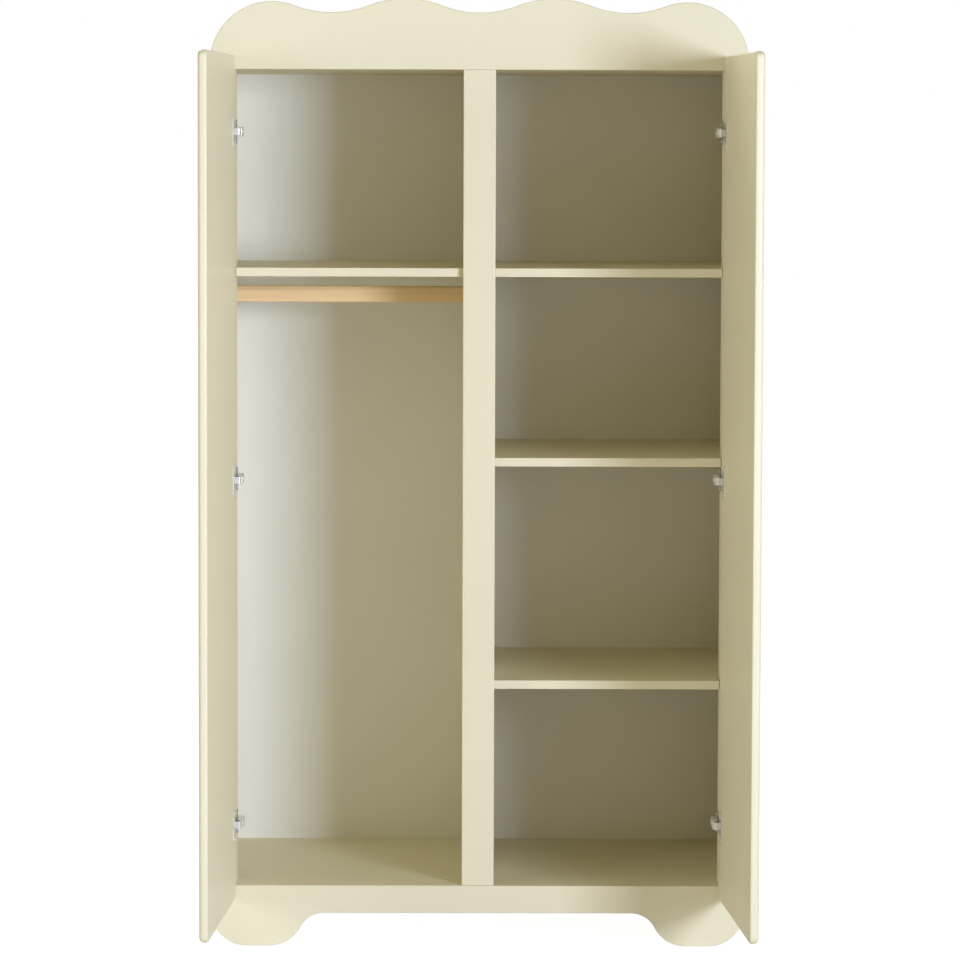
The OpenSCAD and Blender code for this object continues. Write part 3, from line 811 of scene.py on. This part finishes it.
def right_foot(outline, edge):
    """Draws a foot from the clear height to its outer edge, at the right."""
    heel, toe, sweep = foot_arcs(edge, SIDES["right"])
    outline.line((sweep[0], shapes().under_height))
    outline.chain([sweep, toe], 90.0, -90.0)
    outline.line((heel[0], 0.0))
    outline.arc(heel, 90.0)


class WARDROBE_OT_face_frame(Operator):
    """Makes the crown board, the apron board and the three stiles"""

    bl_idname = "wardrobe.face_frame"
    bl_label = "Face frame"

    def execute(self, context):
        self.crown()
        self.apron()
        for node in ("left_stile", "centre_stile", "right_stile"):
            low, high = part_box(node)
            self.dress(cuboid(low, high), node)
        return {"FINISHED"}

    def crown(self):
        """Arcs from shoulder to shoulder that run into each other over a straight lower edge."""
        low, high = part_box("crown_board")
        size = shapes()
        half = high.x
        radius = size.shoulder_radius
        shoulder = Vector((half - radius, size.shoulder_height - radius))
        dip_level = size.dip_height + size.dip_radius
        rise = size.shoulder_height - size.dip_height
        reach = radius + size.dip_radius
        dip_x = shoulder.x - math.sqrt(2 * reach * rise - rise ** 2)
        crest_rise = high.z - low.z - size.dip_height
        crest_radius = ((dip_x / 2) ** 2 + crest_rise ** 2) / (2 * crest_rise) - size.dip_radius
        crest = (dip_x / 2, size.dip_height + crest_rise - crest_radius)
        right = [tuple(shoulder), (dip_x, dip_level), crest]
        centres = right + [(0.0, dip_level)] + [(-x, y) for x, y in reversed(right)]
        outline = Outline((-half, 0.0))
        outline.line((half, 0.0))
        outline.line((half, shoulder.y))
        outline.chain(centres, 0.0, 180.0)
        bm = outline.slab(high.y - low.y)
        bm.transform(Matrix.Translation((0.0, low.z, 0.0)))
        self.dress(upright(bm, low.y), "crown_board")

    def apron(self):
        """A straight rail between two bulb feet."""
        low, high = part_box("apron_board")
        outline = Outline((low.x, high.z))
        left_foot(outline, low.x)
        right_foot(outline, high.x)
        outline.line((high.x, high.z))
        self.dress(upright(outline.slab(high.y - low.y), low.y), "apron_board")

    def dress(self, bm, node):
        """Rounds the front arris of a board, which leaves a fine groove at each joint."""
        soften(bm, shapes().frame_arris, edges_at(bm, 1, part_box(node)[0].y))
        piece(bm, node)


class WARDROBE_OT_carcase(Operator):
    """Makes the sides, the cross panels, the divider, the back panels and what stiffens them"""

    bl_idname = "wardrobe.carcase"
    bl_label = "Carcase"

    def execute(self, context):
        for side in SIDES:
            self.side(side)
            board(side + "_back_panel", shapes().board_arris / 2)
            board(side + "_hinge_batten", shapes().board_arris)
        for node in ("top_panel", "bottom_panel", "divider_panel", "rear_rail"):
            board(node, shapes().board_arris)
        self.blocks()
        return {"FINISHED"}

    def side(self, side):
        """A side panel with its rear foot and a rebate for the back panel."""
        node = side + "_side"
        low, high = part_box(node)
        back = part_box(side + "_back_panel")
        rear_y = back[0].y
        outline = Outline((low.y, high.z))
        outline.line((low.y, shapes().under_height))
        right_foot(outline, high.y)
        outline.line((high.y, high.z))
        inner = high.x if side == "left" else low.x
        middle = back[0].x if side == "left" else back[1].x
        outer = low.x if side == "left" else high.x
        bm = sidelong(outline.slab(abs(outer - middle)), min(outer, middle))
        for axis, place in ((1, rear_y), (2, back[0].z)):
            self.split(bm, middle, axis, place)
        grooved = [f for f in self.at(bm, middle) if not self.in_rebate(f, rear_y, back[0].z)]
        push(bm, grooved, (inner - middle, 0.0, 0.0))
        soften(tidy(bm), shapes().board_arris, segments=3)
        piece(bm, node)

    def at(self, bm, x):
        """The faces that look along the wardrobe's width and lie at one place of it."""
        return [
            f for f in bm.faces
            if abs(f.normal.x) > 0.9 and abs(f.calc_center_median().x - x) < SAME_PLACE
        ]

    def in_rebate(self, face, rear_y, bottom_z):
        """Whether a face lies where the back panel goes."""
        middle = face.calc_center_bounds()
        return middle.y > rear_y and middle.z > bottom_z

    def split(self, bm, x, axis, place):
        """Splits the faces at one place of the width along a plane square to another axis."""
        geom = self.at(bm, x)
        geom += list({e for f in geom for e in f.edges}) + list({v for f in geom for v in f.verts})
        point, normal = Vector((0.0, 0.0, 0.0)), Vector((0.0, 0.0, 0.0))
        point[axis], normal[axis] = place, 1.0
        bmesh.ops.bisect_plane(bm, geom=geom, dist=MERGE, plane_co=point, plane_no=normal)

    def blocks(self):
        """The triangular blocks that stiffen the front corners."""
        node = "corner_blocks"
        bm = bmesh.new()
        for low, high in solids(node):
            corner = low.x if low.x < 0 else high.x
            tip = high.x if low.x < 0 else low.x
            outline = Outline((corner, low.y))
            outline.line((tip, low.y))
            outline.line((corner, high.y))
            block = outline.slab(high.z - low.z)
            block.transform(Matrix.Translation((0.0, 0.0, low.z)))
            join(bm, soften(tidy(block), shapes().board_arris, segments=2))
        piece(bm, node)


class WARDROBE_OT_shelves(Operator):
    """Makes the four shelves, cut back where they pass the hinge battens"""

    bl_idname = "wardrobe.shelves"
    bl_label = "Shelves"

    def execute(self, context):
        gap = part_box("left_shelf")[0].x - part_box("left_side")[1].x
        for node in ("left_shelf", "right_upper_shelf", "right_middle_shelf", "right_lower_shelf"):
            side = node.split("_")[0]
            low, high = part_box(node)
            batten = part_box(side + "_hinge_batten")
            edge = low.x if side == "left" else high.x
            far = high.x if side == "left" else low.x
            notch = (batten[1].x if side == "left" else batten[0].x) - SIDES[side] * 2 * gap
            outline = Outline((far, low.y))
            outline.line((notch, low.y))
            outline.line((notch, batten[1].y + 2 * gap))
            outline.line((edge, batten[1].y + 2 * gap))
            outline.line((edge, high.y))
            outline.line((far, high.y))
            bm = outline.slab(high.z - low.z)
            bm.transform(Matrix.Translation((0.0, 0.0, low.z)))
            soften(tidy(bm), shapes().board_arris, segments=3)
            piece(bm, node)
        return {"FINISHED"}


class WARDROBE_OT_hanging_rail(Operator):
    """Makes the wooden rail and the two sockets that hold it"""

    bl_idname = "wardrobe.hanging_rail"
    bl_label = "Hanging rail"

    def execute(self, context):
        low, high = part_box("hanging_rail")
        bm = cuboid(low, high)
        long = [e for e in bm.edges if abs(e.verts[0].co.x - e.verts[1].co.x) > MERGE]
        soften(bm, shapes().rail_edge, long, segments=6)
        soften(bm, shapes().board_arris / 2, segments=2)
        piece(bm, "hanging_rail")
        for side in SIDES:
            refined(side + "_rail_socket", shapes().fitting_arris)
        return {"FINISHED"}


class WARDROBE_OT_doors(Operator):
    """Makes the two plain doors with their round edges and cup bores"""

    bl_idname = "wardrobe.doors"
    bl_label = "Doors"

    def execute(self, context):
        for side in SIDES:
            self.door(side)
        return {"FINISHED"}

    def door(self, side):
        """A door, drawn closed and then turned to where it rests."""
        node = side + "_door"
        (low, high), = solids(node)
        size = shapes()
        r = size.door_corner
        outline = Outline((low.x + r, low.z))
        for corner, bearing_in in (
            ((high.x - r, low.z + r), 270.0), ((high.x - r, high.z - r), 0.0),
            ((low.x + r, high.z - r), 90.0), ((low.x + r, low.z + r), 180.0),
        ):
            turn = math.radians(bearing_in)
            outline.line((corner[0] + r * math.cos(turn), corner[1] + r * math.sin(turn)))
            outline.arc(corner, 90.0)
        bm = upright(outline.slab(high.y - low.y), low.y)
        soften(bm, size.door_edge, edges_at(bm, 1, low.y), segments=8)
        soften(bm, size.door_inner_edge, edges_at(bm, 1, high.y), segments=5)
        self.bores(bm, side, high.y)
        bm.transform(closing(side + "_door_leaf").inverted())
        piece(bm, node)

    def bores(self, bm, side, inner_y):
        """Opens the round bores for the hinge cups in the inner face."""
        size = shapes()
        inner = max((f for f in bm.faces if f.normal.y > 0.9), key=lambda f: f.calc_area())
        (low, high), = solids(side + "_door")
        across = low.x + size.cup_inset if side == "left" else high.x - size.cup_inset
        rings = []
        for level in LEVELS:
            (low, high), = solids(f"{side}_{level}_hinge_cup")
            depth = inner_y - low.y + size.cup_clearance
            centre = Vector((across, inner_y, (low.z + high.z) / 2))
            made = bmesh.ops.create_circle(
                bm, segments=BORE_CORNERS, radius=size.cup_bore / 2,
                matrix=Matrix.Translation(centre) @ Matrix.Rotation(math.radians(90), 4, "X"),
            )
            rings.append(list({e for v in made["verts"] for e in v.link_edges}))
        sink(bm, inner, rings, (0.0, -depth, 0.0))


class WARDROBE_OT_hinges(Operator):
    """Finishes the cups, arms, plates and pins of the six hinges"""

    bl_idname = "wardrobe.hinges"
    bl_label = "Hinges"

    def execute(self, context):
        for side in SIDES:
            for level in LEVELS:
                for part in ("cup", "arm", "plate"):
                    refined(f"{side}_{level}_hinge_{part}", shapes().fitting_arris)
            refined(side + "_hinge_pins")
        return {"FINISHED"}


class WARDROBE_OT_fasteners(Operator):
    """Finishes screws, shelf pins, dowels and cam locks"""

    bl_idname = "wardrobe.fasteners"
    bl_label = "Fasteners"

    def execute(self, context):
        for node in (
            "left_cup_screws", "right_cup_screws", "plate_screws", "arm_screws", "rail_screws",
            "panel_screws", "back_screws", "cam_locks",
        ):
            crossed(node)
        for node in ("shelf_pins", "frame_dowels", "case_dowels", "cam_bolts"):
            refined(node)
        return {"FINISHED"}


class WARDROBE_OT_studio(Operator):
    """Makes the floor, the lights and the camera"""

    bl_idname = "wardrobe.studio"
    bl_label = "Studio"

    def execute(self, context):
        studio = context.scene.wardrobe_studio
        self.camera(studio)
        self.floor(studio)
        self.lights(studio)
        self.room(studio)
        return {"FINISHED"}

    def camera(self, studio):
        """The camera at the photo's view."""
        sin, cos = math.sin, math.cos
        forward = Vector((
            sin(studio.yaw) * cos(studio.pitch), cos(studio.yaw) * cos(studio.pitch),
            -sin(studio.pitch),
        ))
        level = Vector((cos(studio.yaw), -sin(studio.yaw), 0.0))
        above = level.cross(forward)
        right = cos(studio.roll) * level + sin(studio.roll) * above
        up = cos(studio.roll) * above - sin(studio.roll) * level
        camera = bpy.data.cameras.new("camera")
        camera.lens = studio.lens
        camera.clip_end = 100.0
        turn = Matrix((right, up, -forward)).transposed().to_4x4()
        place = Matrix.Translation(studio.camera_place)
        bpy.context.scene.camera = added("camera", camera, place @ turn)

    def floor(self, studio):
        """A plain floor under the wardrobe."""
        bm = bmesh.new()
        bmesh.ops.create_grid(bm, x_segments=1, y_segments=1, size=studio.floor_size)
        mesh = bpy.data.meshes.new("floor")
        bm.to_mesh(mesh)
        bm.free()
        mesh.materials.append(self.pale(studio))
        added("floor", mesh)

    def pale(self, studio):
        """A matt white floor that the camera sees nearly shadowless."""
        recipe = Recipe("floor")
        recipe.finish((*studio.floor_colour, 1.0), roughness=0.6)
        seen = recipe.node("ShaderNodeLightPath", {}, {}, "Is Camera Ray") * studio.floor_glow
        glow = recipe.node("ShaderNodeEmission", {}, {"Strength": studio.floor_light})
        matt = Field(recipe, recipe.shader.outputs[0])
        both = recipe.node("ShaderNodeMixShader", {}, {0: seen, 1: matt, 2: glow})
        recipe.feed(recipe.first("Material Output").inputs["Surface"], both)
        return recipe.material

    def lights(self, studio):
        """A cool softbox at the front right, a wide soft light at each side and one behind."""
        x, y, z = studio.side_place
        size = studio.side_size
        key = self.light(
            "key", studio.key_place, studio.key_size, studio.key_power, studio.key_colour,
            studio.key_aim,
        )
        key.spread = studio.key_spread
        self.light("right", (x, y, z), size, studio.right_power, studio.key_colour)
        self.light("left", (-x, y, z), size, studio.left_power, studio.left_colour)
        self.light("back", studio.back_place, size, studio.back_power, WHITE)

    def light(self, name, place, size, power, colour, aim=MIDDLE):
        """A square softbox that looks at a place, the middle of the wardrobe if not told."""
        light = bpy.data.lights.new(name, "AREA")
        light.shape = "SQUARE"
        light.size = size
        light.energy = power
        light.color = colour
        place = Vector(place)
        towards = (Vector(aim) - place).to_track_quat("-Z", "Y").to_matrix().to_4x4()
        added(name, light, Matrix.Translation(place) @ towards)
        return light

    def room(self, studio):
        """A room that the camera sees white, and that lights the wardrobe warmly and dimly."""
        world = bpy.data.worlds.new("white room")
        world.use_nodes = True
        nodes = Nodes(world.node_tree)
        seen = nodes.first("Background")
        nodes.feed(seen.inputs["Color"], (*WHITE, 1.0))
        lit = nodes.node(
            "ShaderNodeBackground", {},
            {"Color": (*studio.room_colour, 1.0), "Strength": studio.room},
        )
        ray = nodes.node("ShaderNodeLightPath", {}, {}, "Is Camera Ray")
        both = nodes.node(
            "ShaderNodeMixShader", {}, {0: ray, 1: lit, 2: Field(nodes, seen.outputs[0])},
        )
        nodes.feed(nodes.first("World Output").inputs["Surface"], both)
        bpy.context.scene.world = world
        view = bpy.context.scene.view_settings
        view.view_transform = "Standard"
        view.look = "None"


STEPS = (
    WARDROBE_OT_studio, WARDROBE_OT_face_frame, WARDROBE_OT_carcase, WARDROBE_OT_shelves,
    WARDROBE_OT_hanging_rail, WARDROBE_OT_doors, WARDROBE_OT_hinges, WARDROBE_OT_fasteners,
)


class WARDROBE_PT_panel(Panel):
    """Lists the steps and the values of the wardrobe"""

    bl_idname = "WARDROBE_PT_panel"
    bl_label = "Wardrobe"
    bl_space_type = "VIEW_3D"
    bl_region_type = "UI"
    bl_category = "Wardrobe"

    def draw(self, context):
        for step in STEPS:
            self.layout.operator(step.bl_idname)
        for group in GROUPS:
            values = getattr(context.scene, group)
            for name in values.bl_rna.properties.keys():
                if name not in ("rna_type", "name"):
                    self.layout.prop(values, name)


GROUPS = {
    "wardrobe_shapes": WardrobeShapes,
    "wardrobe_finishes": WardrobeFinishes,
    "wardrobe_studio": WardrobeStudio,
}
CLASSES = (*GROUPS.values(), *STEPS, WARDROBE_PT_panel)


def register():
    for cls in CLASSES:
        bpy.utils.register_class(cls)
    for name, group in GROUPS.items():
        setattr(bpy.types.Scene, name, PointerProperty(type=group))


def unregister():
    for name in GROUPS:
        delattr(bpy.types.Scene, name)
    for cls in reversed(CLASSES):
        bpy.utils.unregister_class(cls)


def main():
    register()
    for step in STEPS:
        group, name = step.bl_idname.split(".")
        getattr(getattr(bpy.ops, group), name)()


if __name__ == "__main__":
    main()
